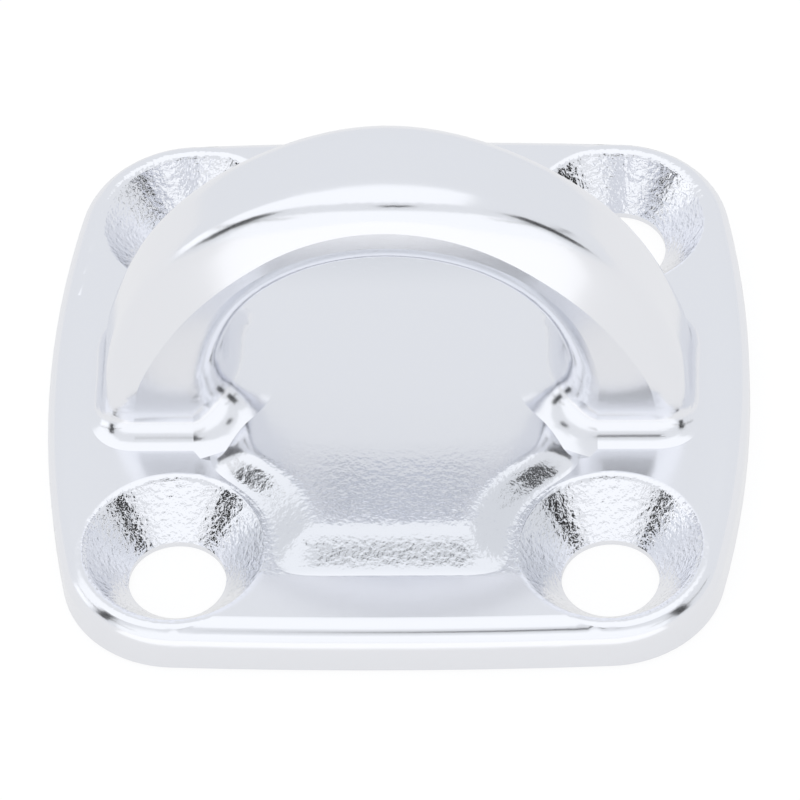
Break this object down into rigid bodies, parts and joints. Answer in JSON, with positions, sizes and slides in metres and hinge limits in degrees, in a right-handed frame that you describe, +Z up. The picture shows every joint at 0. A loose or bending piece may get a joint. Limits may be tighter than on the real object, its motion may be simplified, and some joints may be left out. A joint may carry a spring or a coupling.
{
  "type": "pad eye",
  "caption": "Square pad eye in polished cast stainless steel: a round-topped bail on a thick plate with countersunk screw holes and a low saddle between the feet.",
  "frame": {"origin": "centre of the plate's underside, where the part rests", "axes": "+X across the bail from foot to foot, +Y along the eye, from the front of the plate to its back, +Z up through the bail's crown"},
  "size_m": [0.0622, 0.058, 0.0346],
  "materials": {
    "polished_stainless": "polished cast stainless steel with a fine cast grain left in the hollows"
  },
  "bodies": {
    "root": {"pad_eye": "polished_stainless"}
  },
  "joints": []
}
